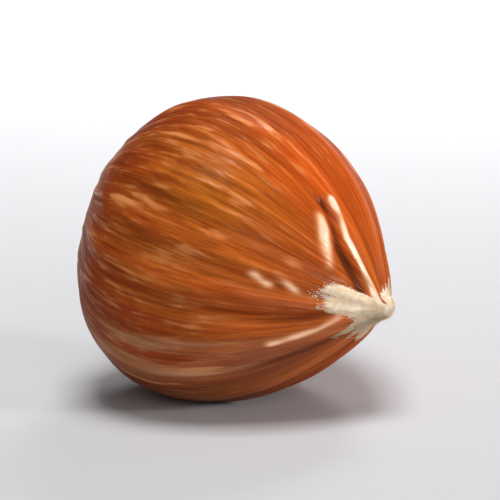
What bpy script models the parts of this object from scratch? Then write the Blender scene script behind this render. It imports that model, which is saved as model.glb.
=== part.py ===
"""A hazelnut in its shell, lying on its side on a small flat spot under its weight.

The nut is one closed body. It starts as a profile turned round the nut's own axis, from the scar
at the base to the small point at the tip. Its ribs, seams, scar grain and slight crookedness are
then raised on that turned body by formulas, and the nut is laid down with its tip a little low.

Metres, +Z up. The nut's own axis runs level with X, tip towards +X. The origin is the middle of
the flat spot that the nut rests on. Before it is laid down the nut stands on its scar, with its
axis along +Z, and its own +X side is the one that will face the ground.
"""

import math

import bmesh
import bpy
from mathutils import Matrix, Vector
from mathutils.geometry import interpolate_bezier

MM = 0.001

# Main sizes of the nut
LENGTH = 20.4 * MM
RADIUS = 10.0 * MM
WIDEST = 7.7 * MM
THICKNESS_FACTOR = 0.97
WIDTH_FACTOR = 1.01
THREE_SIDED = 0.017
THREE_SIDED_TURN = 1.5

# Handles of the profile's two long curves, as (radius, height): scar to widest, widest to tip
LOWER_HANDLES = ((8.05 * MM, 2.7 * MM), (RADIUS, 4.3 * MM))
UPPER_HANDLES = ((RADIUS, 13.4 * MM), (5.05 * MM, 17.25 * MM))

# The scar where the nut sat in its husk
SCAR_RADIUS = 5.7 * MM
SCAR_DOME = 0.95 * MM
SCAR_RIM_GROOVE = 0.11 * MM
SCAR_RIM_WIDTH = 0.3 * MM
SCAR_REACH = 5.0 * MM
SCAR_OUTLINE = ((2, 0.040, 0.7), (3, 0.028, 2.1), (5, 0.014, 4.0))
SCAR_GRAIN = 0.07 * MM
SCAR_GRAIN_PITCH = 1.7 * MM

# The point at the tip, which stands a little off the axis
NIB_FOOT_RADIUS = 1.3 * MM
NIB_FOOT_BELOW_TOP = 1.0 * MM
NIB_HANDLES = ((0.62 * MM, 19.8 * MM), (0.72 * MM, LENGTH))
TIP_LEAN_UP = 0.62 * MM
TIP_LEAN_BACK = 0.53 * MM

# Broad shallow ribs that run from scar to tip
RIB_COUNT = 18
RIB_HEIGHT = 0.07 * MM
RIB_GAIN_AT_TIP = 0.35
RIB_START_RADIUS = 0.7 * MM
RIB_FULL_RADIUS = 2.4 * MM
RIB_START_HEIGHT = 1.2 * MM
RIB_FULL_HEIGHT = 4.0 * MM
RIB_TIP_HEIGHT = 18.1 * MM

# Narrow seams that run down from the tip: direction in degrees, height, how far down they reach
SEAMS = (
    (20.0, 0.16 * MM, 12.5 * MM),
    (62.0, 0.10 * MM, 14.5 * MM),
    (97.0, 0.20 * MM, 11.0 * MM),
    (135.0, 0.10 * MM, 13.5 * MM),
    (165.0, 0.08 * MM, 14.5 * MM),
    (238.0, 0.10 * MM, 13.5 * MM),
    (262.0, 0.12 * MM, 13.5 * MM),
    (292.0, 0.16 * MM, 12.5 * MM),
    (331.0, 0.12 * MM, 14.0 * MM),
)
SEAM_HALF_WIDTH = 0.55 * MM
SEAM_FADE_LENGTH = 3.0 * MM
SEAM_START_RADIUS = 0.6 * MM
SEAM_FULL_RADIUS = 3.0 * MM

# Short folds and one furrow near the tip: height, half width, bent line on the nut's end view
FOLDS = (
    (0.20 * MM, 0.42 * MM, ((-5.8 * MM, -2.6 * MM), (-4.5 * MM, -3.1 * MM), (-3.0 * MM, -3.3 * MM))),
    (0.20 * MM, 0.42 * MM, ((-6.4 * MM, -1.4 * MM), (-4.4 * MM, -1.6 * MM), (-0.7 * MM, -0.8 * MM))),
    (-0.16 * MM, 0.34 * MM, ((-6.3 * MM, -2.0 * MM), (-3.9 * MM, -2.4 * MM), (-1.3 * MM, -1.6 * MM))),
    (0.18 * MM, 0.45 * MM, ((-0.1 * MM, -2.4 * MM), (1.2 * MM, -3.9 * MM), (2.3 * MM, -5.7 * MM))),
)

# Slow unevenness of the whole shell: waves round, waves along, phase, height
LUMPS = (
    (2, 2, 3.8, 0.10 * MM),
    (4, 3, 2.6, 0.07 * MM),
    (7, 4, 5.1, 0.04 * MM),
)

# How the nut lies
TIP_DOWN = math.radians(13.5)
FLAT_DEPTH = 0.31 * MM

# Fineness of the turned body
SEGMENTS = 96
SCAR_RINGS = 8
LOWER_RINGS = 11
UPPER_RINGS = 20
NIB_RINGS = 6

SHELL_COLOUR = (0.330, 0.092, 0.026, 1.0)
SCAR_COLOUR = (0.400, 0.262, 0.145, 1.0)
SHELL_ROUGHNESS = 0.38
SCAR_ROUGHNESS = 0.85


def clear_scene():
    """Remove every object that the scene starts with."""
    for thing in list(bpy.data.objects):
        bpy.data.objects.remove(thing, do_unlink=True)


def curve(start, start_handle, end_handle, end, count):
    """Points of one Bezier stretch of the profile, given as (radius, height) pairs."""
    corners = [Vector((r, 0.0, z)) for r, z in (start, start_handle, end_handle, end)]
    return interpolate_bezier(*corners, count)


def scar_profile():
    """The scar from its middle to its edge: a low dome that hangs below its rim."""
    points = []
    for ring in range(SCAR_RINGS + 1):
        share = ring / SCAR_RINGS
        points.append(Vector((share * (SCAR_RADIUS - SCAR_RIM_WIDTH), 0.0, SCAR_DOME * share**2)))
    groove_height = SCAR_DOME + SCAR_RIM_GROOVE
    points.append(Vector((SCAR_RADIUS - SCAR_RIM_WIDTH / 2, 0.0, groove_height)))
    return points


def shell_profile():
    """The shell from the lip round the scar, over the widest place and up to the point."""
    lip = (SCAR_RADIUS, SCAR_DOME - SCAR_RIM_GROOVE / 2)
    widest = (RADIUS, WIDEST)
    foot = (NIB_FOOT_RADIUS, LENGTH - NIB_FOOT_BELOW_TOP)
    lower = curve(lip, *LOWER_HANDLES, widest, LOWER_RINGS)
    upper = curve(widest, *UPPER_HANDLES, foot, UPPER_RINGS)
    nib = curve(foot, *NIB_HANDLES, (0.0, LENGTH), NIB_RINGS)
    return lower + upper[1:] + nib[1:]


def turn_profile(mesh, points):
    """Spin the profile a full turn round +Z, then close the seam and both poles."""
    verts = [mesh.verts.new(point) for point in points]
    edges = [mesh.edges.new(pair) for pair in zip(verts, verts[1:])]
    bmesh.ops.spin(
        mesh, geom=verts + edges, cent=(0, 0, 0), axis=(0, 0, 1), angle=math.tau, steps=SEGMENTS
    )
    bmesh.ops.remove_doubles(mesh, verts=mesh.verts, dist=0.004 * MM)
    bmesh.ops.recalc_face_normals(mesh, faces=mesh.faces)


def smooth_step(low, high, value):
    """0 below low, 1 above high, and a smooth rise between."""
    share = min(max((value - low) / (high - low), 0.0), 1.0)
    return share * share * (3.0 - 2.0 * share)


def rib_height(angle, radius, height):
    """Ribs of unequal width: one wave round the nut whose pace and strength both drift."""
    phase = RIB_COUNT * angle + 1.3 * math.sin(3 * angle) + 0.8 * math.sin(5 * angle + 1.0)
    strength = 0.72 + 0.28 * math.sin(4 * angle + 2.0)
    along = 1.0 + RIB_GAIN_AT_TIP * smooth_step(WIDEST, RIB_TIP_HEIGHT, height)
    tip_end = smooth_step(RIB_START_RADIUS, RIB_FULL_RADIUS, radius)
    scar_end = smooth_step(RIB_START_HEIGHT, RIB_FULL_HEIGHT, height)
    return RIB_HEIGHT * strength * along * tip_end * scar_end * math.sin(phase)


def seam_height(angle, radius, height):
    """Narrow raised lines, each a bell across and fading out down the side."""
    total = 0.0
    for degrees, rise, reach in SEAMS:
        turn = math.remainder(angle - math.radians(degrees), math.tau)
        across = turn * radius / SEAM_HALF_WIDTH
        along = smooth_step(reach - SEAM_FADE_LENGTH / 2, reach + SEAM_FADE_LENGTH / 2, height)
        total += rise * along * math.exp(-across * across)
    return total * smooth_step(SEAM_START_RADIUS, SEAM_FULL_RADIUS, radius)


def distance_to_line(x, y, line):
    """Shortest way from a point to a bent line of straight stretches."""
    nearest = math.inf
    for (x0, y0), (x1, y1) in zip(line, line[1:]):
        run, rise = x1 - x0, y1 - y0
        share = ((x - x0) * run + (y - y0) * rise) / (run * run + rise * rise)
        share = min(max(share, 0.0), 1.0)
        nearest = min(nearest, math.hypot(x - x0 - share * run, y - y0 - share * rise))
    return nearest


def fold_height(x, y, height):
    """Folds near the tip, each a bell across its line, on the tip's half of the nut only."""
    if height < WIDEST:
        return 0.0
    return sum(
        rise * math.exp(-((distance_to_line(x, y, line) / half_width) ** 2))
        for rise, half_width, line in FOLDS
    )


def lump_height(angle, height):
    """Slow waves round and along the shell, so that no two sides are alike."""
    share = math.pi * height / LENGTH
    waves = (
        size * math.sin(around * angle + phase) * math.sin(along * share)
        for around, along, phase, size in LUMPS
    )
    return sum(waves)


def scar_grain(x, y, radius):
    """Coarse crossed ripples on the scar, none at its middle or at its rim."""
    wave = math.tau / SCAR_GRAIN_PITCH
    ripple = math.sin(wave * x + 1.4 * math.sin(0.6 * wave * y)) * math.sin(wave * y + 0.7)
    middle = smooth_step(0.0, SCAR_GRAIN_PITCH, radius)
    rim = SCAR_RADIUS - SCAR_RIM_WIDTH
    edge = 1.0 - smooth_step(rim - SCAR_GRAIN_PITCH, rim, radius)
    return SCAR_GRAIN * ripple * middle * edge


def scar_stretch(angle, height):
    """Factor that makes the scar's round outline uneven and leaves the upper nut alone."""
    uneven = sum(size * math.cos(count * angle + phase) for count, size, phase in SCAR_OUTLINE)
    return 1.0 + uneven * (1.0 - smooth_step(SCAR_DOME, SCAR_REACH, height))


def shaped(point):
    """Where a point of the turned body lies on the real nut's surface."""
    radius = math.hypot(point.x, point.y)
    angle = math.atan2(point.y, point.x)
    on_scar = point.z <= SCAR_DOME + SCAR_RIM_GROOVE and radius < SCAR_RADIUS - SCAR_RIM_WIDTH / 4
    if on_scar:
        relief = scar_grain(point.x, point.y, radius)
    else:
        relief = rib_height(angle, radius, point.z) + seam_height(angle, radius, point.z)
        relief += lump_height(angle, point.z) + fold_height(point.x, point.y, point.z)
    middle = Vector((0.0, 0.0, WIDEST))
    moved = point + (point - middle).normalized() * relief
    section = scar_stretch(angle, point.z) * (1.0 + THREE_SIDED * math.cos(3 * angle + THREE_SIDED_TURN))
    lean = min(max((point.z - WIDEST) / (LENGTH - WIDEST), 0.0), 1.0) ** 2
    x = moved.x * section * THICKNESS_FACTOR - TIP_LEAN_UP * lean
    y = moved.y * section * WIDTH_FACTOR + TIP_LEAN_BACK * lean
    return Vector((x, y, moved.z))


def lay_down(mesh):
    """Tip the nut onto its side, then slice off the flat spot and close it."""
    bmesh.ops.rotate(
        mesh, verts=mesh.verts, cent=(0, 0, 0), matrix=Matrix.Rotation(math.pi / 2 + TIP_DOWN, 3, "Y")
    )
    lowest = min(mesh.verts, key=lambda vert: vert.co.z).co.copy()
    ground = Vector((0, 0, lowest.z + FLAT_DEPTH))
    everything = list(mesh.verts) + list(mesh.edges) + list(mesh.faces)
    bmesh.ops.bisect_plane(
        mesh, geom=everything, dist=0.002 * MM, plane_co=ground, plane_no=(0, 0, -1), clear_outer=True
    )
    rim = [edge for edge in mesh.edges if edge.is_boundary]
    flat = bmesh.ops.contextual_create(mesh, geom=rim)["faces"]
    centre = flat[0].calc_center_median_weighted()
    bmesh.ops.poke(mesh, faces=flat, center_mode="MEAN_WEIGHTED")
    bmesh.ops.translate(mesh, verts=mesh.verts, vec=-centre)


def new_material(name, colour, roughness):
    """One plain non-metal surface."""
    material = bpy.data.materials.new(name)
    material.use_nodes = True
    shader = material.node_tree.nodes["Principled BSDF"]
    shader.inputs["Base Color"].default_value = colour
    shader.inputs["Roughness"].default_value = roughness
    shader.inputs["Metallic"].default_value = 0.0
    return material


def make_nut():
    """Build the nut as one object with its shell and scar surfaces."""
    mesh = bmesh.new()
    turn_profile(mesh, scar_profile() + shell_profile())
    for face in mesh.faces:
        centre = face.calc_center_median()
        face.material_index = int(
            centre.z < SCAR_DOME + SCAR_RIM_GROOVE and centre.xy.length < SCAR_RADIUS - SCAR_RIM_WIDTH / 2
        )
        face.smooth = True
    for vert in mesh.verts:
        vert.co = shaped(vert.co)
    lay_down(mesh)
    data = bpy.data.meshes.new("hazelnut")
    mesh.to_mesh(data)
    mesh.free()
    data.materials.append(new_material("nut shell", SHELL_COLOUR, SHELL_ROUGHNESS))
    data.materials.append(new_material("nut scar", SCAR_COLOUR, SCAR_ROUGHNESS))
    nut = bpy.data.objects.new("hazelnut", data)
    bpy.context.collection.objects.link(nut)
    return nut


clear_scene()
make_nut()
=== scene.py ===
# %% [markdown]
# A hazelnut in its shell
#
# This lesson dresses one whole hazelnut. The real nut is a hard woody shell that grew as one
# piece: glossy and streaked along its sides, dull and corky on the scar where it sat in its husk,
# and covered with pale felt round its small point. We make it in two meshes: the nut itself, as
# one closed surface with fine relief, and the short hairs of the felt. Then come the floor, the
# lights and the camera.
#
# The frame below is a plain solid of the same nut at its real size, in metres. Our finer nut has
# to take its exact place, so we load it first and keep its box.

# %% Load the frame and keep its box
import math

import bpy
import numpy as np
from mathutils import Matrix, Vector


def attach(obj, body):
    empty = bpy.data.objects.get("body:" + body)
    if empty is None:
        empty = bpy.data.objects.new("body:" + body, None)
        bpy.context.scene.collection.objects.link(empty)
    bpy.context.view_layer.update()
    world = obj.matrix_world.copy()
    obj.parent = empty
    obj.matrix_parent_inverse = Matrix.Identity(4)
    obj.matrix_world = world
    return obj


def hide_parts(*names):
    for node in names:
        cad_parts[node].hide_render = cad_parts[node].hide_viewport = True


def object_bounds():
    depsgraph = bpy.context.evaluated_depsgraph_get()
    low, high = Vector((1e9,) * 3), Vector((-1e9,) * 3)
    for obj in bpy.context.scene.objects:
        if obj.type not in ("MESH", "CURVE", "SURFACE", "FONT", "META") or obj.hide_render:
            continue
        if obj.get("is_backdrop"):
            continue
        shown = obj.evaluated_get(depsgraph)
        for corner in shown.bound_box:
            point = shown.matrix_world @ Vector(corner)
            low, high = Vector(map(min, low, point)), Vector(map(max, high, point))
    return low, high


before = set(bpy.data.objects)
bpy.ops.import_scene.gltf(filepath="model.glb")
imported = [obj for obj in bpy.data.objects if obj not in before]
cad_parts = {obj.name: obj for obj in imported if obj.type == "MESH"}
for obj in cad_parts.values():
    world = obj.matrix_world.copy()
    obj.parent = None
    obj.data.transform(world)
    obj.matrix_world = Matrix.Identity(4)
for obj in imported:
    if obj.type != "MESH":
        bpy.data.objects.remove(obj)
cad_low, cad_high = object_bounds()
MM = 0.001
print("box of the nut in mm:", [round((b - a) / MM, 2) for a, b in zip(cad_low, cad_high)])

# %% [markdown]
# The profile of the nut
#
# A hazelnut is nearly a turned shape. Cut along its axis it shows a low dome (the scar), a lip, a
# full round belly, a shoulder and a tiny point. One could lathe this with the Screw modifier, but
# we need to know where each point lies round and along the nut, to raise ribs there and to paint
# streaks. So the profile is a list of (radius, height) pairs that we turn ourselves with numpy.
# The long stretches are Bezier curves, because two handles are enough to make them round.

# %% Corners and handles of the profile, as radius and height in mm
LENGTH, RADIUS, WIDEST = 20.4, 10.0, 7.7
SCAR_RADIUS, SCAR_DOME = 5.7, 0.95
RIM_GROOVE, RIM_WIDTH = 0.11, 0.3
EDGE = (SCAR_RADIUS - RIM_WIDTH, SCAR_DOME)
LIP = (SCAR_RADIUS, SCAR_DOME - RIM_GROOVE / 2)
EQUATOR = (RADIUS, WIDEST)
FOOT = (1.3, LENGTH - 1.0)
POINT = (0.0, LENGTH)
RIM_HANDLES = (
    (SCAR_RADIUS - RIM_WIDTH / 2, SCAR_DOME + 2.0 * RIM_GROOVE),
    (SCAR_RADIUS - 0.08, SCAR_DOME - 0.02),
)
LOWER_HANDLES = ((8.05, 2.7), (RADIUS, 4.3))
UPPER_HANDLES = ((RADIUS, 13.4), (5.05, 17.25))
NIB_HANDLES = ((0.62, 19.8), (0.72, LENGTH))
print("the nut is", LENGTH, "mm long and widest", WIDEST, "mm above the scar")

# %% Profile of the nut, from the scar's middle to the point
SCAR_ROWS, RIM_ROWS, LOWER_ROWS, UPPER_ROWS, NIB_ROWS = 58, 8, 48, 82, 22


def bezier(start, handles, end, count):
    """Cubic curve: its four corners weighted (1-t)^3, 3t(1-t)^2, 3t^2(1-t) and t^3."""
    t = np.linspace(0.0, 1.0, count)[:, None]
    weights = ((1 - t) ** 3, 3 * t * (1 - t) ** 2, 3 * t**2 * (1 - t), t**3)
    corners = (start, *handles, end)
    return sum(weight * np.array(corner) for weight, corner in zip(weights, corners))


def scar_stretch(count):
    """The scar's dome: its height grows with the square of the radius, up to its edge."""
    share = np.linspace(0.0, 1.0, count)[1:]
    return np.column_stack([share * EDGE[0], SCAR_DOME * share**2])


stretches = (
    scar_stretch(SCAR_ROWS),
    bezier(EDGE, RIM_HANDLES, LIP, RIM_ROWS)[1:],
    bezier(LIP, LOWER_HANDLES, EQUATOR, LOWER_ROWS)[1:],
    bezier(EQUATOR, UPPER_HANDLES, FOOT, UPPER_ROWS)[1:],
    bezier(FOOT, NIB_HANDLES, POINT, NIB_ROWS)[1:-1],
)
profile = np.vstack(stretches)
steps = np.hypot(*np.diff(profile, axis=0).T)
from_tip = np.append(np.cumsum(steps[::-1])[::-1], 0.0) + profile[-1, 0]
print("profile rows:", len(profile), "and length from scar to tip in mm:", round(from_tip[0], 1))

# %% [markdown]
# A grid round the nut
#
# Every row of the profile is turned through 440 columns. That gives whole arrays: the angle round
# the nut, the radius, the height and the way left to the tip. All relief is a function of these, so
# no loop over points is needed. Angle 0 is the side that faces the ground and 270 degrees the side
# in front.

# %% Angle, radius and height of every grid point
COLUMNS = 440
around = np.linspace(0.0, math.tau, COLUMNS, endpoint=False)
angle = np.broadcast_to(around, (len(profile), COLUMNS))
radius = np.repeat(profile[:, :1], COLUMNS, axis=1)
height = np.repeat(profile[:, 1:], COLUMNS, axis=1)
to_tip = np.repeat(from_tip[:, None], COLUMNS, axis=1)
on_scar = np.arange(len(profile)) < SCAR_ROWS - 1 + RIM_ROWS // 2
print("grid points:", angle.size)

# %% [markdown]
# Three tools for relief
#
# All that stands up or sinks in on the nut is a number in mm for each grid point. A smooth step
# fades it in between two values without a corner. Value noise gives chance: random numbers on a
# lattice, blended smoothly between its corners, because a sum of waves would look woven. Each seed
# is fixed, so every run gives the same nut. A pattern on the nut's end view is first moved off the
# lattice's corner. The third tool measures the turn from a direction.

# %% Smooth step, value noise and turn
SEED = 20
LATTICE = 256
OFF_CORNER = 20


def smooth_step(low, high, value):
    """0 below low, 1 above high, and 3s^2 - 2s^3 of the share s between."""
    share = np.clip((value - low) / (high - low), 0.0, 1.0)
    return share * share * (3.0 - 2.0 * share)


def value_noise(x, y, cell_x, cell_y, seed, wrap=0):
    """Random lattice values blended by smooth steps in x and y; wrap closes it round in x."""
    table = np.random.default_rng(seed).random((LATTICE, LATTICE))
    gx, gy = x / cell_x, y / cell_y
    ix, iy = np.floor(gx).astype(int), np.floor(gy).astype(int)
    sx, sy = smooth_step(0, 1, gx - ix), smooth_step(0, 1, gy - iy)
    period = wrap or LATTICE
    x0, x1 = ix % period, (ix + 1) % period
    y0, y1 = iy % LATTICE, (iy + 1) % LATTICE
    low = table[x0, y0] * (1 - sx) + table[x1, y0] * sx
    high = table[x0, y1] * (1 - sx) + table[x1, y1] * sx
    return low * (1 - sy) + high * sy - 0.5


def turn_from(degrees):
    """Signed angle from a direction, the short way round, in radians."""
    return (angle - math.radians(degrees) + math.pi) % math.tau - math.pi


print("smooth step a quarter of the way:", smooth_step(0.0, 1.0, 0.25))

# %% [markdown]
# Ribs
#
# The shell grew round bundles of fibres that run from the scar to the point. They show as broad
# shallow ribs, less than a tenth of a millimetre high. A rib is a wave round the nut whose pace
# drifts, so that no two have one width.

# %% Broad shallow ribs
RIB_COUNT, RIB_HEIGHT = 18, 0.07


def rib_relief():
    """A sine round the nut whose phase has two slower sines added, faded at both ends."""
    phase = RIB_COUNT * angle + 1.3 * np.sin(3 * angle) + 0.8 * np.sin(5 * angle + 1.0)
    strength = 0.72 + 0.28 * np.sin(4 * angle + 2.0)
    along = 1.0 + 0.35 * smooth_step(WIDEST, 18.1, height)
    ends = smooth_step(0.7, 2.4, radius) * smooth_step(1.2, 4.0, height)
    return RIB_HEIGHT * strength * along * ends * np.sin(phase)


ribs = rib_relief()
print("ribs in mm:", ribs.min().round(3), "to", ribs.max().round(3))

# %% [markdown]
# Seams and creases
#
# Near the point the ribs draw together into narrow raised seams with dark creases between them. A
# seam is a bell-shaped bump across, which keeps its width in millimetres while the nut narrows
# under it. A crease is the same bell turned inwards, and narrower. Each line of the tables gives
# an angle in degrees, a rise in mm, and the height above the scar where the line fades in.

# %% Seams and creases
SEAMS = (
    (20, 0.16, 12.5),
    (62, 0.10, 14.5),
    (97, 0.20, 11.0),
    (135, 0.10, 13.5),
    (165, 0.08, 14.5),
    (238, 0.10, 13.5),
    (262, 0.12, 13.5),
    (292, 0.16, 12.5),
    (331, 0.12, 14.0),
)
CREASES = (
    (41, 0.05, 15.5),
    (78, 0.07, 16.0),
    (116, 0.06, 15.5),
    (150, 0.04, 16.0),
    (182, 0.04, 16.5),
    (276, 0.09, 15.8),
    (311, 0.08, 15.0),
)
SEAM_WIDTH, CREASE_WIDTH = 0.55, 0.26
HALF_FADE = 1.5


def line_relief(lines, width):
    """Sum of bells exp(-(arc / width)^2), each times its rise and fading in along the side."""
    total = np.zeros_like(angle)
    for degrees, rise, start in lines:
        bell = np.exp(-((turn_from(degrees) * radius / width) ** 2))
        total += rise * bell * smooth_step(start - HALF_FADE, start + HALF_FADE, height)
    return total


seam_lift = line_relief(SEAMS, SEAM_WIDTH) * smooth_step(0.6, 3.0, radius)
crease_depth = line_relief(CREASES, CREASE_WIDTH) * smooth_step(0.8, 2.0, radius)
print("seams up to", seam_lift.max().round(3), "mm, creases down to", crease_depth.max().round(3), "mm")

# %% [markdown]
# Folds by the point
#
# By its point the shell has a few folds that run across the fibres. Their crests are pale: partly
# real wear, and on the two that stand high partly a painted highlight, with a groove between them.
# They follow bent lines, so we draw them on the nut's end view: u and v are the radius times the
# cosine and the sine of the angle. Each fold has a rise, a width, how pale its crest is, and its
# line. The pale bell is narrower than the fold, and noise breaks it up in patches.

# %% Folds
FOLDS = (
    (0.20, 0.58, 1.0, ((-5.6, -2.7), (-4.5, -3.1), (-3.2, -3.3))),
    (0.20, 0.38, 1.0, ((-6.4, -1.4), (-4.4, -1.6), (-0.7, -0.8))),
    (-0.16, 0.32, 0.0, ((-6.3, -2.0), (-3.9, -2.4), (-1.3, -1.6))),
    (0.18, 0.42, 0.38, ((-0.1, -2.4), (1.2, -3.9), (2.3, -5.7))),
    (0.05, 0.50, 0.5, ((-2.4, -7.0), (-1.9, -6.5))),
    (0.05, 0.45, 0.5, ((-2.5, -6.0), (-1.7, -5.4), (-1.1, -4.5))),
)
PALE_NARROWER = 1.7
PALE_BREAK_BASE, PALE_BREAK_CHANGE, PALE_BREAK_CELL = 0.85, 1.3, 0.8
FAR_AWAY = 99.0


def distance_to_line(u, v, line):
    """Distance to the nearest stretch: the foot of the perpendicular, kept between its ends."""
    nearest = np.full_like(angle, FAR_AWAY)
    for (u0, v0), (u1, v1) in zip(line[:-1], line[1:]):
        share = ((u - u0) * (u1 - u0) + (v - v0) * (v1 - v0)) / ((u1 - u0) ** 2 + (v1 - v0) ** 2)
        share = np.clip(share, 0.0, 1.0)
        nearest = np.minimum(nearest, np.hypot(u - u0 - share * (u1 - u0), v - v0 - share * (v1 - v0)))
    return nearest


def fold_relief():
    """Bells exp(-(distance / width)^2) across the lines, and the narrower bells of their paleness."""
    u, v = radius * np.cos(angle), radius * np.sin(angle)
    total, paleness = np.zeros_like(angle), np.zeros_like(angle)
    for rise, width, pale, line in FOLDS:
        nearest = distance_to_line(u, v, line)
        total += rise * np.exp(-((nearest / width) ** 2))
        paleness += pale * np.exp(-((PALE_NARROWER * nearest / width) ** 2))
    upper = smooth_step(WIDEST, WIDEST + 2.0, height)
    patches = value_noise(u + OFF_CORNER, v + OFF_CORNER, PALE_BREAK_CELL, PALE_BREAK_CELL, SEED + 7)
    pale_breaks = np.clip(PALE_BREAK_BASE + PALE_BREAK_CHANGE * patches, 0.0, 1.0)
    return total * upper, paleness * upper * pale_breaks


folds, fold_wear_and_glint = fold_relief()
print("folds in mm:", folds.min().round(3), "to", folds.max().round(3))

# %% [markdown]
# Slow lumps, and all of the shell's relief
#
# No shell is quite even: it bulges and sinks by a tenth of a millimetre over its whole length.
# Waves round the nut times waves along it give that: each has a rise in mm, a number round the
# nut, a phase and a number along it. Then all relief of the shell is added up. It sinks by a
# hair's breadth, so that the fine lines that come next stay inside the frame's solid.

# %% Lumps and the sum
LUMPS = ((0.10, 2, 3.8, 2), (0.07, 4, 2.6, 3), (0.04, 7, 5.1, 4))
FINE_SINK = 0.03


def lump_relief():
    """Sum of rise * sin(number round * angle + phase) * sin(number along * pi * height / LENGTH)."""
    along = math.pi * height / LENGTH
    return sum(
        rise * np.sin(round_nut * angle + phase) * np.sin(up_nut * along)
        for rise, round_nut, phase, up_nut in LUMPS
    )


shell_relief = ribs + seam_lift + folds + lump_relief() - crease_depth - FINE_SINK
print("shell relief in mm:", shell_relief.min().round(3), "to", shell_relief.max().round(3))

# %% [markdown]
# Grain of the scar and fine lines of the shell
#
# The scar is torn, corky tissue: small pits and crumbs about half a millimetre across. Value noise
# at three cell sizes gives them: each has a rise and a cell in mm. The shell gets the same noise,
# stretched along the fibres, as fine raised lines. It has to close round the nut, so its lattice
# wraps after a whole number of cells: each has a rise, that number and a length in mm.

# %% Fine relief
CRUMBS = ((0.10, 1.3), (0.09, 0.55), (0.05, 0.26))
RING_RISE, RING_RADIUS, RING_WIDTH = 0.05, 2.2, 0.45
FIBRE_LINES = ((0.022, 110, 5.0), (0.014, 200, 2.4))


def scar_relief():
    """Noise at three cell sizes, and a ring exp(-((radius - its own) / width)^2), less at the edge."""
    x, y = radius * np.cos(angle) + OFF_CORNER, radius * np.sin(angle) + OFF_CORNER
    crumbs = sum(
        rise * value_noise(x, y, cell, cell, SEED + number) for number, (rise, cell) in enumerate(CRUMBS)
    )
    ring = RING_RISE * np.exp(-(((radius - RING_RADIUS) / RING_WIDTH) ** 2))
    edge_fade = 1.0 - smooth_step(5.4, 6.0, radius)
    return (crumbs + ring) * (0.25 + 0.75 * edge_fade)


def fibre_relief():
    """Noise with a whole number of narrow cells round the nut and long cells along it."""
    share = angle / math.tau
    lines = sum(
        rise * value_noise(share, to_tip, 1 / count, length, SEED + number, wrap=count)
        for number, (rise, count, length) in enumerate(FIBRE_LINES, 3)
    )
    return lines * smooth_step(1.0, 3.0, radius)


relief = np.where(on_scar[:, None], scar_relief(), shell_relief + fibre_relief())
print("scar relief in mm:", relief[on_scar].min().round(3), "to", relief[on_scar].max().round(3))

# %% [markdown]
# From the turned shape to the real one
#
# No nut is quite round. This one is a little wider than thick and faintly three-sided, its scar
# has an uneven, notched outline and its point leans off the axis. Waves round the nut scale its
# section to do this. The relief moves each point along the line from the nut's middle.

# %% Section, lean and relief
SCAR_OUTLINE = ((2, 0.040, 0.7), (3, 0.028, 2.1), (5, 0.014, 4.0))
SCAR_NOTCHES = ((11, 0.007, 0.3), (17, 0.006, 1.9), (26, 0.005, 2.6), (37, 0.004, 0.9))
THREE_SIDED = ((3, 0.017, 1.5),)
THICKNESS, WIDTH = 0.97, 1.01
LEAN_X, LEAN_Y = -0.62, 0.53
OUTLINE_TOP, NOTCH_TOP, NOTCH_EDGE = 5.0, 2.6, (3.9, 5.3)


def waves(angle, terms):
    """Sum of size * cos(count * angle + phase)."""
    return sum(size * np.cos(count * angle + phase) for count, size, phase in terms)


def standing_points(radius, angle, height, relief):
    """Points standing on the scar, in mm: cos and sin of the angle times the radius and section.

    The lean grows with the square of the height above the widest place.
    """
    reach = np.hypot(radius, height - WIDEST)
    r = radius + radius / reach * relief
    z = height + (height - WIDEST) / reach * relief
    section = 1.0 + waves(angle, SCAR_OUTLINE) * (1.0 - smooth_step(SCAR_DOME, OUTLINE_TOP, height))
    near_rim = smooth_step(*NOTCH_EDGE, radius) * (1.0 - smooth_step(SCAR_DOME, NOTCH_TOP, height))
    section += waves(angle, SCAR_NOTCHES) * near_rim
    section *= 1.0 + waves(angle, THREE_SIDED)
    lean = np.clip((height - WIDEST) / (LENGTH - WIDEST), 0.0, 1.0) ** 2
    x = r * np.cos(angle) * section * THICKNESS + LEAN_X * lean
    y = r * np.sin(angle) * section * WIDTH + LEAN_Y * lean
    return np.stack([x, y, z], axis=-1)


standing = standing_points(radius, angle, height, relief)
pole_heights, pole_relief = np.array([0.0, LENGTH]), np.array([relief[0].mean(), 0.0])
standing_poles = standing_points(np.zeros(2), np.zeros(2), pole_heights, pole_relief)
print("standing nut in mm:", np.ptp(standing.reshape(-1, 3), axis=0).round(2))

# %% [markdown]
# Lay the nut down
#
# The nut lies on its side with the point about 13 degrees low. We turn the points themselves and
# leave the object unturned, so that every pattern stays in place on it. Then the nut is set where
# the frame's solid lies, and pressed flat underneath where it rests.

# %% Lay down, set in place and flatten underneath
TIP_DOWN = math.radians(13.5)


def laid_down(points):
    """Turn about Y by 90 degrees and the dip of the tip: z goes along +X, x towards the ground."""
    turn = math.pi / 2 + TIP_DOWN
    x, y, z = np.moveaxis(points, -1, 0)
    along_x = x * math.cos(turn) + z * math.sin(turn)
    return np.stack([along_x, y, z * math.cos(turn) - x * math.sin(turn)], axis=-1)


everything = np.vstack([laid_down(standing).reshape(-1, 3), laid_down(standing_poles)])
solid_low, solid_high = np.array(cad_low) / MM, np.array(cad_high) / MM
shift = (solid_low + solid_high) / 2 - (everything.min(0) + everything.max(0)) / 2
shift[2] = solid_high[2] - everything[:, 2].max()
points = everything + shift
under = points[:, 2] < 0.0
points[under, 2] = 0.0
print("moved by", shift.round(2), "mm; points in the flat spot:", int(under.sum()))

# %% [markdown]
# The mesh
#
# Rows and columns become four-sided faces; the last column joins the first, and a fan of triangles
# closes each pole. `foreach_set` writes whole arrays, which is far quicker than a loop. Faces of
# the scar rows get the second material.

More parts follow.
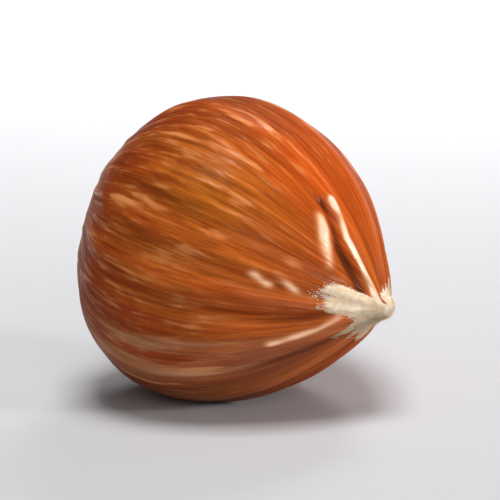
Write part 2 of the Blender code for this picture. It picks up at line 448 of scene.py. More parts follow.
# %% Build the nut's mesh
def grid_mesh(name, points, rows, columns, second_material_rows):
    """Closed mesh of a grid that wraps round, with a fan at each pole. Poles are the last two."""
    index = np.arange(rows * columns).reshape(rows, columns)
    right = np.roll(index, -1, axis=1)
    quads = np.stack([index[:-1], right[:-1], right[1:], index[1:]], axis=-1).reshape(-1, 4)
    bottom = np.stack([np.full(columns, rows * columns), right[0], index[0]], axis=-1)
    top = np.stack([np.full(columns, rows * columns + 1), index[-1], right[-1]], axis=-1)
    mesh = bpy.data.meshes.new(name)
    mesh.vertices.add(len(points))
    mesh.vertices.foreach_set("co", (points * MM).astype(np.float32).ravel())
    corners = np.concatenate([quads.ravel(), bottom.ravel(), top.ravel()])
    sizes = np.concatenate([np.full(len(quads), 4), np.full(2 * columns, 3)])
    mesh.loops.add(len(corners))
    mesh.loops.foreach_set("vertex_index", corners)
    mesh.polygons.add(len(sizes))
    mesh.polygons.foreach_set("loop_start", np.concatenate([[0], np.cumsum(sizes)[:-1]]))
    second = np.zeros(len(sizes), dtype=np.int32)
    second[: second_material_rows * columns] = 1
    second[len(quads) : len(quads) + columns] = 1
    mesh.polygons.foreach_set("material_index", second)
    mesh.polygons.foreach_set("use_smooth", np.ones(len(sizes), dtype=bool))
    mesh.update(calc_edges=True)
    mesh.validate()
    return mesh


rows = len(profile)
nut_mesh = grid_mesh("nut", points, rows, COLUMNS, int(on_scar.sum()) - 1)
nut = bpy.data.objects.new("nut", nut_mesh)
bpy.context.collection.objects.link(nut)
print("triangles in the nut:", sum(len(face.vertices) - 2 for face in nut_mesh.polygons))

# %% [markdown]
# Where the felt lies
#
# The felt is a mat of short pale hairs round the point. It reaches further along a few rays and is
# rubbed off elsewhere. A ray has an angle, how much further in mm, and a spread in degrees, and
# one below zero keeps a fold free of felt. The older part of the shell, nearer the scar, is
# mottled, most of all on its upper side, where its pale dashes are partly painted glints.

# %% Felt and mottle, from 0 to 1
FELT_REACH, FELT_FADE = 1.7, (0.72, 1.12)
MOTTLED_SIDE, MOTTLE_FADE = math.radians(208), (10.5, 15.5)
FELT_RAYS = (
    (257, 3.3, 23),
    (239, 0.9, 7),
    (221, -1.3, 12),
    (308, 2.4, 13),
    (340, 1.2, 16),
    (126, 1.4, 17),
    (45, 0.9, 24),
)


def felt_amount():
    """1 round the point, falling to 0 past a reach that has a bell added for each ray."""
    reach = np.full_like(angle, FELT_REACH)
    for degrees, longer, spread in FELT_RAYS:
        reach += longer * np.exp(-((turn_from(degrees) / math.radians(spread)) ** 2))
    ragged = 1.0 + 0.5 * value_noise(angle / math.tau, to_tip, 1 / 60, 2.0, SEED + 5, wrap=60)
    return 1.0 - smooth_step(*FELT_FADE, to_tip / (reach * ragged))


def mottle_amount():
    """A cosine round the nut, cut to 0 to 1, times a smooth step down towards the point."""
    uneven = 0.52 + 0.46 * np.cos(angle - MOTTLED_SIDE) + 0.10 * np.sin(4 * angle)
    return np.clip(uneven, 0.0, 1.0) * (1.0 - 0.85 * smooth_step(*MOTTLE_FADE, height))


felt = felt_amount()
mottle = mottle_amount()
print("share under felt:", felt.mean().round(3), "and mottled:", mottle.mean().round(3))

# %% [markdown]
# Soft ovals of colour
#
# A nut is never one colour. Two sides are redder and three yellower, the belly has worn tan bands
# and is painted darker as shade on the side that faces the ground, and single pale and dark marks
# lie along the fibres. Each is a soft oval on the shell: an angle and its spread in degrees, a
# height and its length in mm. The marks of the far side and underneath are spread by chance, in
# about the same sizes.

# %% Tables of ovals
REDDER = ((180, 36, 14.0, 5.0), (45, 35, 12.0, 5.0))
YELLOWER = ((222, 20, 10.5, 4.0), (110, 25, 9.0, 4.5), (335, 20, 11.0, 4.0))
# Painted shade: the side that faces the ground, and under the point, darkened as if in shadow.
UNDERSIDE_PAINTED_SHADE = ((328, 24, 9.5, 8.0), (10, 30, 9.5, 8.0), (306, 15, 16.2, 2.6))
TAN_BANDS = (
    (294, 2.8, 8.9, 2.8),
    (307, 3.4, 11.5, 3.8),
    (297, 1.8, 13.6, 2.4),
    (313, 2.4, 7.0, 2.2),
    (301, 2.2, 9.2, 3.4),
    (290, 1.6, 12.0, 2.2),
    (305, 1.6, 5.6, 1.6),
    (130, 2.2, 10.0, 3.4),
    (60, 2.6, 9.0, 3.6),
)
PALE_MARKS = (
    (211, 1.4, 6.6, 1.5),
    (209, 1.5, 9.5, 1.8),
    (225, 1.7, 12.0, 0.8),
    (208, 1.6, 11.7, 0.6),
    (242, 1.4, 5.4, 1.5),
    (240, 1.3, 7.6, 1.3),
    (192, 1.8, 8.2, 0.9),
    (186, 1.8, 9.6, 0.9),
    (240, 1.8, 11.9, 1.1),
    (252, 1.8, 10.6, 0.9),
    (266, 1.7, 7.4, 0.9),
    (238, 2.2, 15.9, 0.6),
)
DARK_MARKS = (
    (219, 1.7, 6.0, 2.8),
    (229, 1.6, 7.6, 2.6),
    (227, 2.2, 3.4, 1.8),
    (216, 1.8, 13.5, 1.7),
    (201, 1.5, 8.5, 2.6),
)
# Painted shade: the felt under the point, darkened as if in shadow.
UNDERSIDE_FELT_SHADE = ((318, 34, 19.0, 2.6),)
MORE_PALE, MORE_DARK = 22, 14
FAR_MARKS = ((-60, 170), (1.2, 2.0), (4.0, 14.0), (0.8, 2.2))
print("ovals placed by hand:", len(REDDER + YELLOWER + UNDERSIDE_PAINTED_SHADE + TAN_BANDS + PALE_MARKS + DARK_MARKS))

# %% Fields of colour from the tables
CREASE_SHADE = 0.12


def fields(spots):
    """Sum of soft ovals on the shell: exp(-(turn / spread)^2 - ((height - level) / length)^2)."""
    total = np.zeros_like(angle)
    for degrees, spread, level, length in spots:
        across = turn_from(degrees) / math.radians(spread)
        total += np.exp(-(across**2) - ((height - level) / length) ** 2)
    return np.clip(total, 0.0, 1.0)


def scattered_marks(count, seed):
    """More marks, each value drawn evenly between its two limits."""
    draw = np.random.default_rng(seed)
    return np.column_stack([draw.uniform(low, high, count) for low, high in FAR_MARKS])


pale_marks = fields(PALE_MARKS) + fields(scattered_marks(MORE_PALE, SEED + 8))
dark_marks = fields(DARK_MARKS) + fields(scattered_marks(MORE_DARK, SEED + 9))
amounts = {
    "felt": (felt, 0.0, 1.0),
    # Painted shade in the creases and in the groove between the two high folds.
    "crease_shade": (np.clip((crease_depth - folds) / CREASE_SHADE, 0.0, 1.0), 0.0, 0.0),
    # Pale crests: partly real wear, partly a painted highlight on the high folds.
    "crest_wear_and_glint": (np.clip(seam_lift + fold_wear_and_glint, 0.0, 1.0), 0.0, 0.0),
    "mottle": (mottle, 1.0, 0.0),
    "young": (smooth_step(3.0, 15.0, height), 0.0, 1.0),
    "flush": (fields(REDDER), 0.0, 0.0),
    "ochre": (fields(YELLOWER), 0.0, 0.0),
    # Painted shade on the side that faces the ground.
    "underside_shade": (fields(UNDERSIDE_PAINTED_SHADE), 0.0, 0.0),
    "tan": (fields(TAN_BANDS), 0.0, 0.0),
    "marks": (pale_marks - dark_marks, 0.0, 0.0),
    # Painted shade on the felt under the point.
    "underside_felt_shade": (fields(UNDERSIDE_FELT_SHADE), 0.0, 0.5),
    "ribs": (0.5 + 0.5 * ribs / RIB_HEIGHT, 0.5, 0.5),
    "lip": (1.0 - smooth_step(0.0, 1.1, height - SCAR_DOME), 1.0, 0.0),
}
print("amounts:", ", ".join(amounts))

# %% [markdown]
# What the materials need to know
#
# The streaks follow the fibres, the felt sits round the point and the creases are dark. A texture
# in plain Object coordinates knows none of this, so we store it on the mesh: for every grid point,
# then for the scar's middle and for the point. `grain` is a place on a cylinder round the nut's
# axis, in mm. A pattern on it closes round without a seam, and when its third number is squeezed
# it becomes long streaks that run together at the point. `outward` is for the scar alone: 0 in
# its middle and 1 at its edge.

# %% Store the grain and the amounts on the mesh
def store(mesh, name, values, pole_values):
    """Write a float or vector attribute for every point, with the two poles last."""
    flat = np.concatenate([values.reshape(len(points) - 2, -1), np.array(pole_values).reshape(2, -1)])
    kind, key = ("FLOAT_VECTOR", "vector") if flat.shape[1] == 3 else ("FLOAT", "value")
    layer = mesh.attributes.new(name, kind, "POINT")
    layer.data.foreach_set(key, flat.astype(np.float32).ravel())


grain = np.stack([RADIUS * np.cos(angle), RADIUS * np.sin(angle), to_tip], axis=-1)
store(nut_mesh, "grain", grain, [[RADIUS, 0.0, from_tip[0]], [RADIUS, 0.0, 0.0]])
for name, (values, at_scar, at_point) in amounts.items():
    store(nut_mesh, name, values, [at_scar, at_point])
store(nut_mesh, "outward", np.clip(radius / SCAR_RADIUS, 0.0, 1.0), [0.0, 0.0])
print("attributes on the nut:", len(nut_mesh.attributes))

# %% [markdown]
# Colours and nodes
#
# Colours are given as sRGB hex values, the way they look on screen. The shader works with
# linear light, so one function converts them. A second small function adds a node with its
# settings and links, which keeps each material readable as a list. A third lays one colour over
# another, as a painter lays a wash: where, how much and which colour.

# %% Helpers for colours and nodes
def colour(hex_value):
    """sRGB hex to linear: c/12.92 below 0.04045, otherwise ((c+0.055)/1.055)^2.4."""
    parts = [int(hex_value[i : i + 2], 16) / 255 for i in (1, 3, 5)]
    return (*[c / 12.92 if c <= 0.04045 else ((c + 0.055) / 1.055) ** 2.4 for c in parts], 1.0)


def add_node(tree, kind, inputs=None, stops=(), **settings):
    """Add a node: settings are its properties, inputs are numbers to set or sockets to link."""
    node = tree.nodes.new(kind)
    for name, value in settings.items():
        setattr(node, name, value)
    for name, value in (inputs or {}).items():
        if isinstance(value, bpy.types.NodeSocket):
            tree.links.new(value, node.inputs[name])
        else:
            node.inputs[name].default_value = value
    for number, (position, tint) in enumerate(stops):
        ramp = node.color_ramp.elements
        stop = ramp[number] if number < 2 else ramp.new(position)
        stop.position = position
        stop.color = colour(tint)
    return node


def wash(tree, under, source, none, full, most, tint, within=None):
    """Mix in a colour by a share: 0 where the source is none, most where it is full."""
    limits = {"Value": source, "From Min": none, "From Max": full, "To Max": most}
    share = add_node(tree, "ShaderNodeMapRange", limits).outputs[0]
    if within is not None:
        share = add_node(tree, "ShaderNodeMath", {0: share, 1: within}, operation="MULTIPLY").outputs[0]
    mixed = {0: share, 6: under, 7: colour(tint)}
    return add_node(tree, "ShaderNodeMix", mixed, data_type="RGBA").outputs[2]


def new_material(name, constants):
    """A node material whose Principled shader has its constants set, ready for links."""
    material = bpy.data.materials.new(name)
    material.use_nodes = True
    shader = material.node_tree.nodes["Principled BSDF"]
    for socket, value in constants.items():
        shader.inputs[socket].default_value = value
    return material, material.node_tree, shader


print("mid grey #808080 in linear light:", round(colour("#808080")[0], 3))

# %% [markdown]
# The shell: ripe lignified nutshell, naturally polished
#
# The shell is wood without vessels, dense and smooth. It gives the eye a satin gloss over streaks
# of orange, chestnut and dark red-brown that all run to the point. Noise makes them: its cells are
# a fraction of a millimetre wide and several millimetres long. Five sizes of streak are real:
# bands about 3 mm wide, lines of 1 mm, dashes of half a millimetre, fibres and hairlines. Noise
# with broad cells makes the slow change from one patch to the next, and a short fine one frays
# the felt.

# %% What the shell's shader reads, and its streaks
SHELL_GLOSS = {"Coat Roughness": 0.2, "IOR": 1.5, "Specular IOR Level": 0.02}
STREAKS = {
    "bands": (3.2, 30.0, 2.0, 3.0),
    "lines": (0.95, 9.0, 3.0, 11.0),
    "fibres": (0.3, 6.0, 2.0, 23.0),
    "dashes": (0.46, 2.3, 2.0, 41.0),
    "hairlines": (0.16, 5.0, 1.0, 83.0),
    "blotches": (4.0, 9.0, 1.0, 57.0),
    "thin": (0.35, 1.6, 3.0, 71.0),
}
shell, tree, shader = new_material("nut shell, ripe and naturally polished", SHELL_GLOSS)
grain_in = add_node(tree, "ShaderNodeAttribute", attribute_name="grain").outputs["Vector"]
at = {name: add_node(tree, "ShaderNodeAttribute", attribute_name=name).outputs["Fac"] for name in amounts}


def streaks(tree, where, width, length, detail, offset):
    """Noise on the grain with cells of a width and a length in mm."""
    stretch = {"Vector": where, "Location": (offset, 0.0, 0.0), "Scale": (1.0, 1.0, width / length)}
    squeezed = add_node(tree, "ShaderNodeMapping", stretch).outputs[0]
    noise = {"Vector": squeezed, "Scale": 1.0 / width, "Detail": detail, "Roughness": 0.55}
    return add_node(tree, "ShaderNodeTexNoise", noise).outputs["Fac"]


for name, settings in STREAKS.items():
    at[name] = streaks(tree, grain_in, *settings)
print("streak widths in mm:", {name: settings[0] for name, settings in STREAKS.items()})

# %% [markdown]
# Layers of colour on the shell
#
# The ground colour comes from bands and lines through a ramp. Then each layer is laid over it like
# a thin wash. The old end near the scar is darker, two sides are redder, three more ochre, and the
# side that faces the ground gets painted shade. Pale dashes and dark ones lie in the mottled, older
# half; the pale ones are partly painted glints. Each wash turns a source into a share: at the first
# number there is none, at the second it is full.

# %% Ground colour and washes of the shell
BAND_SHARE, LINE_SHARE = 0.55, 0.45
GROUND_RAMP = ((0.34, "#66240e"), (0.44, "#984218"), (0.53, "#b95b20"), (0.64, "#d2772e"))
WASHES = (
    ("blotches", 0.35, 0.65, 0.55, "#a84a18"),
    ("young", 1.0, 0.0, 0.6, "#823012"),
    ("ochre", 0.0, 1.0, 0.6, "#c07220"),
    ("flush", 0.0, 1.0, 0.75, "#c24c14"),
    # Painted shade on the side that faces the ground.
    ("underside_shade", 0.0, 1.0, 0.62, "#684034"),
)
# The pale dashes are partly real streaks and partly painted glints on the upper side.
DASH_WASHES = (("dashes", 0.54, 0.70, 0.60, "#dc8a4c"), ("dashes", 0.46, 0.34, 0.42, "#6c2810"))
bands = add_node(tree, "ShaderNodeMath", {0: at["bands"], 1: BAND_SHARE}, operation="MULTIPLY").outputs[0]
inputs = {0: at["lines"], 1: LINE_SHARE, 2: bands}
ground = add_node(tree, "ShaderNodeMath", inputs, operation="MULTIPLY_ADD").outputs[0]
wood = add_node(tree, "ShaderNodeValToRGB", {"Fac": ground}, stops=GROUND_RAMP).outputs["Color"]
for source, *layer in WASHES:
    wood = wash(tree, wood, at[source], *layer)
for source, *layer in DASH_WASHES:
    wood = wash(tree, wood, at[source], *layer, within=at["mottle"])
print("washes:", len(WASHES) + len(DASH_WASHES))

# %% [markdown]
# Fine lines, ribs and marks
#
# Fibres, hairlines and ribs change only how light the wood is, so they multiply the colour. The
# stored marks have smooth outlines. Real ones are frayed along the fibres, so some of the dash
# noise is added before the cut. The lip round the scar is pale and torn in the same way, and the
# tan bands are worn into lines.

# %% Fine lines, ribs and marks
SHADES = (
    ("fibres", 0.30, 0.70, 0.80, 1.10),
    ("hairlines", 0.32, 0.62, 0.84, 1.18),
    ("ribs", 0.0, 1.0, 0.84, 1.12),
)
NOISE_MIDDLE, FRAY, TEAR = 0.5, 2.2, 1.3
MARK_WASHES = ((0.30, 1.0, 0.56, "#ec9a5c"), (-0.30, -1.0, 0.50, "#7a2c0e"))
TAN_WASH = (0.35, 0.55, 0.68, "#c0946c")
LIP_WASH = (1.0, 1.6, 0.62, "#c08a58")
for source, low, high, dark, light in SHADES:
    span = {"Value": at[source], "From Min": low, "From Max": high, "To Min": dark, "To Max": light}
    shade = add_node(tree, "ShaderNodeMapRange", span).outputs[0]
    wood = add_node(tree, "ShaderNodeVectorMath", {0: wood, "Scale": shade}, operation="SCALE").outputs[0]

inputs = {0: at["dashes"], 1: NOISE_MIDDLE}
ragged = add_node(tree, "ShaderNodeMath", inputs, operation="SUBTRACT").outputs[0]
inputs = {0: ragged, 1: FRAY, 2: at["marks"]}
frayed = add_node(tree, "ShaderNodeMath", inputs, operation="MULTIPLY_ADD").outputs[0]
inputs = {0: at["fibres"], 1: TEAR, 2: at["lip"]}
torn = add_node(tree, "ShaderNodeMath", inputs, operation="MULTIPLY_ADD").outputs[0]
for layer in MARK_WASHES:
    wood = wash(tree, wood, frayed, *layer)
wood = wash(tree, wood, at["lines"], *TAN_WASH, within=at["tan"])
wood = wash(tree, wood, torn, *LIP_WASH)
print("shades:", len(SHADES), "and washes for marks, bands and lip:", len(MARK_WASHES) + 2)

# %% [markdown]
# Folds, felt and creases
#
# The crests of the folds are painted pale: partly real wear, and on the high folds partly a painted
# highlight. The felt is a mat of fine cream hairs, so it hides the wood's colour and its gloss, and
# it has painted shade underneath. Its edge is ragged, because hairs have rubbed off: a noise is
# added to the stored amount before it is cut. Creases are painted dark as shade.

# %% Folds, felt and creases in the colour
# Pale crests: partly real wear, partly a painted highlight.
CREST_WEAR_AND_GLINT_RAMP = ((0.15, "#e58a52"), (0.45, "#ffc79a"), (0.75, "#f8dfc4"))
FELT_RAMP = ((0.30, "#f0d3a0"), (0.46, "#ffe8c4"), (0.62, "#fff6e8"))
# Painted shade on the felt under the point.
FELT_SHADE_WASH = (0.0, 1.0, 0.6, "#a78b68")
# Painted shade in the creases.
CREASE_SHADE_WASH = (0.0, 1.0, 0.8, "#43190b")
FELT_THINNING = 0.9
FELT_CUT, CREST_WEAR_AND_GLINT_CUT = (0.72, 1.15), (0.05, 0.5)
crest_wear_and_glint_tint, felt_tint = (
    add_node(tree, "ShaderNodeValToRGB", {"Fac": at[source]}, stops=ramp).outputs["Color"]
    for source, ramp in (("crest_wear_and_glint", CREST_WEAR_AND_GLINT_RAMP), ("thin", FELT_RAMP))
)
inputs = {"Value": at["crest_wear_and_glint"], "From Min": CREST_WEAR_AND_GLINT_CUT[0], "From Max": CREST_WEAR_AND_GLINT_CUT[1]}
crest_wear_and_glint_share = add_node(tree, "ShaderNodeMapRange", inputs).outputs[0]
skin = add_node(tree, "ShaderNodeMix", {0: crest_wear_and_glint_share, 6: wood, 7: crest_wear_and_glint_tint}, data_type="RGBA").outputs[2]
inputs = {0: at["thin"], 1: FELT_THINNING, 2: at["felt"]}
thinned = add_node(tree, "ShaderNodeMath", inputs, operation="MULTIPLY_ADD").outputs[0]
inputs = {"Value": thinned, "From Min": FELT_CUT[0], "From Max": FELT_CUT[1]}
cover = add_node(tree, "ShaderNodeMapRange", inputs, interpolation_type="SMOOTHSTEP").outputs[0]
felt_tint = wash(tree, felt_tint, at["underside_felt_shade"], *FELT_SHADE_WASH)
skin = add_node(tree, "ShaderNodeMix", {0: cover, 6: skin, 7: felt_tint}, data_type="RGBA").outputs[2]
# Painted shade laid into the creases.
skin = wash(tree, skin, at["crease_shade"], *CREASE_SHADE_WASH)
tree.links.new(skin, shader.inputs["Base Color"])
print("ramps: crest", len(CREST_WEAR_AND_GLINT_RAMP), "felt", len(FELT_RAMP))

# %% [markdown]
# Gloss of the shell
#
# Smooth dense wood has an IOR of about 1.5. Its gloss is uneven along the fibres, sharp on the
# crests and gone under the felt. The coat is the natural polish: full on the crests, and on the
# sides only in thin dashes, so that the light breaks up into small glints.

# %% Roughness and polish of the shell
CREST_ROUGHNESS, FELT_ROUGHNESS = 0.2, 0.85
dull = {"Value": at["lines"], "From Min": 0.3, "From Max": 0.7, "To Min": 0.40, "To Max": 0.54}
rough = add_node(tree, "ShaderNodeMapRange", dull).outputs[0]
glints = {"Value": at["dashes"], "From Min": 0.50, "From Max": 0.70, "To Min": 0.02, "To Max": 0.30}
polish = add_node(tree, "ShaderNodeMapRange", glints).outputs[0]
GLOSS = (("Roughness", rough, CREST_ROUGHNESS, FELT_ROUGHNESS), ("Coat Weight", polish, 1.0, 0.0))
for socket, on_side, on_crest, on_felt in GLOSS:
    inputs = {0: at["crest_wear_and_glint"], 2: on_side, 3: on_crest}
    bare = add_node(tree, "ShaderNodeMix", inputs, data_type="FLOAT").outputs[0]
    inputs = {0: cover, 2: bare, 3: on_felt}
    covered = add_node(tree, "ShaderNodeMix", inputs, data_type="FLOAT").outputs[0]
    tree.links.new(covered, shader.inputs[socket])
print("roughness of the sides:", dull["To Min"], "to", dull["To Max"])

# %% [markdown]
# Bumps of the shell
#
# Relief finer than the mesh goes into bump nodes, one after the other, each with its real height:
# fibres 0.03 mm, lines 0.08 mm, dashes 0.12 mm and the felt's edge 0.06 mm. The coat gets the same
# bumps, or its glints would lie smooth over them.

# %% Bump nodes
BUMPS = ((at["fibres"], 0.55, 0.03), (at["lines"], 0.6, 0.08), (at["dashes"], 0.7, 0.12), (cover, 0.5, 0.06))
bump = None
for source, strength, rise in BUMPS:
    inputs = {"Height": source, "Strength": strength, "Distance": rise * MM}
    if bump:
        inputs["Normal"] = bump
    bump = add_node(tree, "ShaderNodeBump", inputs).outputs["Normal"]
for socket in ("Normal", "Coat Normal"):
    tree.links.new(bump, shader.inputs[socket])
print("bump heights in mm:", [rise for _, _, rise in BUMPS])

# %% [markdown]
# The scar: torn corky tissue
#
# The nut broke away from its husk here, so the surface is dry, matt and crumbly: beige crumbs with
# brown pits between them, and a ragged darker ring at the edge. There is no gloss at all. The pits
# are about 0.5 mm across. The pattern reads Object coordinates, turned to millimetres.

# %% What the scar's shader reads
SCAR_SURFACE = {"Roughness": 0.92, "IOR": 1.45, "Specular IOR Level": 0.25}
CRUMB_NOISE = {"Scale": 2.1, "Detail": 4.0, "Roughness": 0.65}
scar, tree, shader = new_material("nut scar, torn and corky", SCAR_SURFACE)


def object_place(tree):
    """The place on the object in mm: Object coordinates times 1000."""
    where = add_node(tree, "ShaderNodeTexCoord").outputs["Object"]
    per_metre = 1.0 / MM
    scaled = {"Vector": where, "Scale": (per_metre, per_metre, per_metre)}
    return add_node(tree, "ShaderNodeMapping", scaled).outputs[0]


in_mm = object_place(tree)
outward = add_node(tree, "ShaderNodeAttribute", attribute_name="outward").outputs["Fac"]
crumbs = add_node(tree, "ShaderNodeTexNoise", {"Vector": in_mm, **CRUMB_NOISE}).outputs["Fac"]
patches = add_node(tree, "ShaderNodeTexNoise", {"Vector": in_mm, "Scale": 0.45, "Detail": 2.0}).outputs["Fac"]
pits = add_node(tree, "ShaderNodeTexVoronoi", {"Vector": in_mm, "Scale": 2.0}).outputs["Distance"]
print("crumbs of about", round(1.0 / CRUMB_NOISE["Scale"], 2), "mm")

# %% [markdown]
# Colours of the scar
#
# The crumbs run from brown in the hollows to beige on top. Larger patches are paler, pits are
# dark, and the ring at the edge is brown. The noise of the patches makes that ring ragged.

# %% Scar colour and bump
SCAR_RAMP = ((0.30, "#6e4c2e"), (0.42, "#a68055"), (0.54, "#cba77a"), (0.68, "#e8d0a8"))
PATCH_WASH = (0.4, 0.65, 0.5, "#d8b68a")
PIT_WASH = (0.12, 0.0, 0.6, "#4e3820")
RIM_WASH = (1.06, 1.17, 0.75, "#6a4526")
RIM_TEAR = 0.35
CRUMB_BUMP = {"Strength": 0.9, "Distance": 0.12 * MM}
body = add_node(tree, "ShaderNodeValToRGB", {"Fac": crumbs}, stops=SCAR_RAMP).outputs["Color"]
inputs = {0: patches, 1: RIM_TEAR, 2: outward}
rim = add_node(tree, "ShaderNodeMath", inputs, operation="MULTIPLY_ADD").outputs[0]
for source, layer in ((patches, PATCH_WASH), (pits, PIT_WASH), (rim, RIM_WASH)):
    body = wash(tree, body, source, *layer)
tree.links.new(body, shader.inputs["Base Color"])
crumb_bump = add_node(tree, "ShaderNodeBump", {"Height": crumbs, **CRUMB_BUMP}).outputs["Normal"]
tree.links.new(crumb_bump, shader.inputs["Normal"])
nut_mesh.materials.append(shell)
nut_mesh.materials.append(scar)
print("materials:", [material.name for material in nut_mesh.materials])

# %% [markdown]
# The hairs of the felt
#
# From close up the felt has short hairs that lie towards the point. Each is a slim three-sided
# spike with its root sunk in the shell. Real hairs are about 0.02 mm thick, too fine to show, so
# these are drawn about twice as thick. First we draw the roots by chance, more of them where there
# is more felt, and find the outward direction at each.

# %% Roots of the hairs
HAIR_COUNT = 5200
BARE_POINT = 0.5
chance = np.random.default_rng(SEED + 6)


def unit(vectors):
    """Each vector divided by its own length."""
    return vectors / np.maximum(np.linalg.norm(vectors, axis=-1, keepdims=True), 1e-9)


def hair_roots(count):
    """Random grid points, drawn in proportion to felt times the area that a point stands for."""
    area = radius * np.abs(np.gradient(from_tip))[:, None]
    weight = (felt * area * (to_tip > BARE_POINT)).ravel()
    return chance.choice(weight.size, size=count, p=weight / weight.sum())


surface = points[:-2].reshape(rows, COLUMNS, 3)
along = unit(np.gradient(surface, axis=0))
across = unit(np.roll(surface, -1, axis=1) - np.roll(surface, 1, axis=1))
outwards = unit(np.cross(across, along))
picked = hair_roots(HAIR_COUNT)
root, tipward, normal, sideways = (
    field.reshape(-1, 3)[picked] for field in (surface, along, outwards, across)
)
print("hair roots drawn:", len(root))

# %% [markdown]
# From roots to spikes
#
# All spikes are worked out at once. A hair leans along its column towards the point, bends a
# little to one side and lifts off the shell. Its length, bend and lift are drawn by chance. Tips
# that would pass the box of the frame's solid are held back to it.

# %% Spikes of the felt
HAIR_LENGTH = (0.18, 0.42)
HAIR_LIFT = (0.25, 0.6)
HAIR_BEND, HAIR_WIDTH, ROOT_DEPTH = 0.35, 0.022, 0.02
SPIKE_FACES = ((0, 2, 1), (0, 1, 3), (1, 2, 3), (2, 0, 3))
reach = chance.uniform(*HAIR_LENGTH, HAIR_COUNT)[:, None]
bend = chance.normal(0.0, HAIR_BEND, (HAIR_COUNT, 1))
lift = chance.uniform(*HAIR_LIFT, (HAIR_COUNT, 1))
tips = root + reach * unit(tipward + bend * sideways + lift * normal)
tips = np.clip(tips, solid_low + HAIR_WIDTH, solid_high - HAIR_WIDTH)
turns = np.array([0.0, math.tau / 3, 2 * math.tau / 3])
ring = sideways[:, None] * np.cos(turns)[:, None] + tipward[:, None] * np.sin(turns)[:, None]
base = root[:, None] - ROOT_DEPTH * normal[:, None] + HAIR_WIDTH * ring
spikes = np.concatenate([base, tips[:, None]], axis=1).reshape(-1, 3)
first = np.arange(HAIR_COUNT)[:, None] * 4
faces = np.concatenate([first + np.array(corners) for corners in SPIKE_FACES])
hair_mesh = bpy.data.meshes.new("felt_hairs")
hair_mesh.from_pydata((spikes * MM).tolist(), [], faces.tolist())
hairs = bpy.data.objects.new("felt_hairs", hair_mesh)
bpy.context.collection.objects.link(hairs)
# Painted shade on the hairs under the point, as on the felt below them.
underside_felt_shade = np.repeat(amounts["underside_felt_shade"][0].ravel()[picked], 4).astype(np.float32)
hair_mesh.attributes.new("underside_felt_shade", "FLOAT", "POINT").data.foreach_set("value", underside_felt_shade)
print("hairs:", HAIR_COUNT, "with", len(hair_mesh.polygons), "triangles")

# %% [markdown]
# Hair material: plant hair, dry and cream
#
# Dry plant hair scatters light and lets a little through, so it looks soft and pale with no
# highlight of its own. A broad noise makes some tufts warmer, and underneath it gets the same
# painted shade as the felt below it.

# %% Hair material
HAIR_SURFACE = {"Roughness": 0.8, "Specular IOR Level": 0.2}
HAIR_RAMP = ((0.35, "#fbe0b6"), (0.65, "#fff8ec"))
TUFT_NOISE = {"Scale": 3.0, "Detail": 2.0}
hair_skin, tree, shader = new_material("nut felt, dry plant hair", HAIR_SURFACE)
in_mm = object_place(tree)
tufts = add_node(tree, "ShaderNodeTexNoise", {"Vector": in_mm, **TUFT_NOISE}).outputs["Fac"]
tint = add_node(tree, "ShaderNodeValToRGB", {"Fac": tufts}, stops=HAIR_RAMP).outputs["Color"]
underside_felt_shade_in = add_node(tree, "ShaderNodeAttribute", attribute_name="underside_felt_shade").outputs["Fac"]
tree.links.new(wash(tree, tint, underside_felt_shade_in, *FELT_SHADE_WASH), shader.inputs["Base Color"])
hair_mesh.materials.append(hair_skin)
print("hair material:", hair_skin.name)

# %% [markdown]
# Tie the pieces to the frame
#
# The nut stands for the frame's solid, and both pieces ride on the one body that there is.

# %% Ride and replace
for piece in (nut, hairs):
    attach(piece, "root")
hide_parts("hazelnut")
print("pieces:", nut.name, hairs.name)

# %% [markdown]
# Floor
#
# The photograph is a plain studio picture: a white floor that fades into a white background. A
# paper sweep does that in a studio. Ours is one smooth sheet that is flat round the nut and curves
# up far behind it, so no line shows where the floor ends. It is not part of the nut, so it is
# declared as stage.

# %% Floor
FLOOR_SIZE, FLOOR_POINTS = 1.6, 81
FLAT_SHARE, FLOOR_RISE = 0.45, 0.6


def floor_mesh(size, count):
    """A square sheet: its height grows with the cube of the distance past the flat share."""
    line = np.linspace(-size, size, count)
    x, y = np.meshgrid(line, line, indexing="ij")
    far = np.maximum(np.hypot(x, y) / size - FLAT_SHARE, 0.0)
    sheet = np.stack([x, y, FLOOR_RISE * size * far**3], axis=-1).reshape(-1, 3)
    index = np.arange(count * count).reshape(count, count)
    quads = np.stack([index[:-1, :-1], index[1:, :-1], index[1:, 1:], index[:-1, 1:]], axis=-1).reshape(-1, 4)
    mesh = bpy.data.meshes.new("floor")
    mesh.from_pydata(sheet.tolist(), [], quads.tolist())
    mesh.shade_smooth()
    return mesh


floor = bpy.data.objects.new("floor", floor_mesh(FLOOR_SIZE, FLOOR_POINTS))
bpy.context.collection.objects.link(floor)
FLOOR_PAINT = {"Base Color": colour("#cbcbce"), "Roughness": 0.75}
paint, tree, shader = new_material("studio floor, matt white paint", FLOOR_PAINT)
floor.data.materials.append(paint)
floor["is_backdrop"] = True
print("floor of", 2 * FLOOR_SIZE, "m")

# %% [markdown]
# Lights
#
# The main light is soft and comes from above. A weaker one in front on the right fills the tip's
# side, and a small one far right brightens the nut's right flank. A fourth turns the floor behind
# white. Its spread is narrow, as with a grid before the lamp, so it misses the nut and puts no
# haze on it. A faint white world lifts the shadows.

# %% Lights and world
WORLD_STRENGTH = 0.10
middle = (cad_low + cad_high) / 2


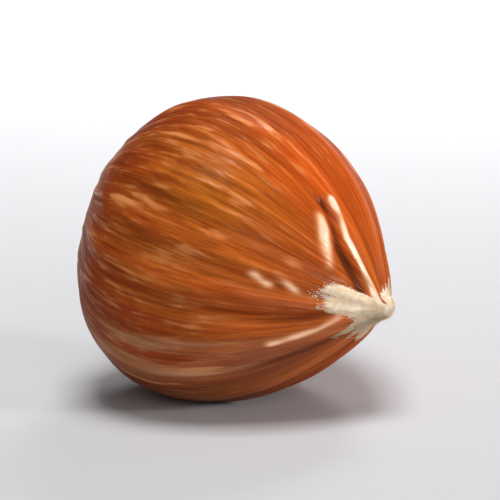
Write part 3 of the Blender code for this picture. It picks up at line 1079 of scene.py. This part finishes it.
def soft_light(name, place, size, power, aim=middle, spread=180.0):
    """A square area light at a place, facing its aim; spread is its full angle in degrees."""
    lamp = bpy.data.lights.new(name, "AREA")
    lamp.size = size
    lamp.energy = power
    lamp.spread = math.radians(spread)
    holder = bpy.data.objects.new(name, lamp)
    holder.location = place
    holder.rotation_euler = (holder.location - Vector(aim)).to_track_quat("Z", "Y").to_euler()
    bpy.context.collection.objects.link(holder)


soft_light("top box", (0.04, -0.06, 0.42), 0.18, 1.44)
soft_light("right box", (0.42, 0.12, 0.13), 0.07, 0.9)
soft_light("front fill", (0.40, -0.34, 0.26), 0.28, 0.62)
soft_light("floor box", (-0.12, 0.32, 0.20), 0.20, 0.80, aim=(-0.12, 0.23, 0.0), spread=72.0)
world = bpy.data.worlds.new("studio")
world.use_nodes = True
world.node_tree.nodes["Background"].inputs["Color"].default_value = (1.0, 1.0, 1.0, 1.0)
world.node_tree.nodes["Background"].inputs["Strength"].default_value = WORLD_STRENGTH
bpy.context.scene.world = world
bpy.context.scene.view_settings.view_transform = "Standard"
print("lights:", [lamp.name for lamp in bpy.data.lights])

# %% [markdown]
# Camera
#
# The camera looks from about 33 degrees beside the front and 15 degrees up, as in the photograph.
# It has a long lens, because the nut is small and the photograph was taken from far away.

# %% Camera
AZIMUTH, ELEVATION = 33.0, 15.0
DISTANCE, LENS, SENSOR = 0.30, 345.0, 36.0


def direction(azimuth, elevation):
    """Unit vector from the nut: azimuth 0 is the front (-Y) and turns towards +X."""
    a, e = math.radians(azimuth), math.radians(elevation)
    return Vector((math.sin(a) * math.cos(e), -math.cos(a) * math.cos(e), math.sin(e)))


lens = bpy.data.cameras.new("camera")
lens.lens = LENS
lens.sensor_width = SENSOR
lens.clip_start = 0.01
camera = bpy.data.objects.new("camera", lens)
camera.location = middle + DISTANCE * direction(AZIMUTH, ELEVATION)
camera.rotation_euler = (camera.location - middle).to_track_quat("Z", "Y").to_euler()
bpy.context.collection.objects.link(camera)
bpy.context.scene.camera = camera
print("camera at", [round(v, 3) for v in camera.location])

# %% [markdown]
# Write the sizes and finish
#
# The box of the dressed nut is printed, as the frame's box was at the start. The dressed
# nut must not be bigger than the frame's solid.

# %% Sizes and finish
low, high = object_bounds()
print("box of the dressed nut in mm:", [round((b - a) / MM, 2) for a, b in zip(low, high)])
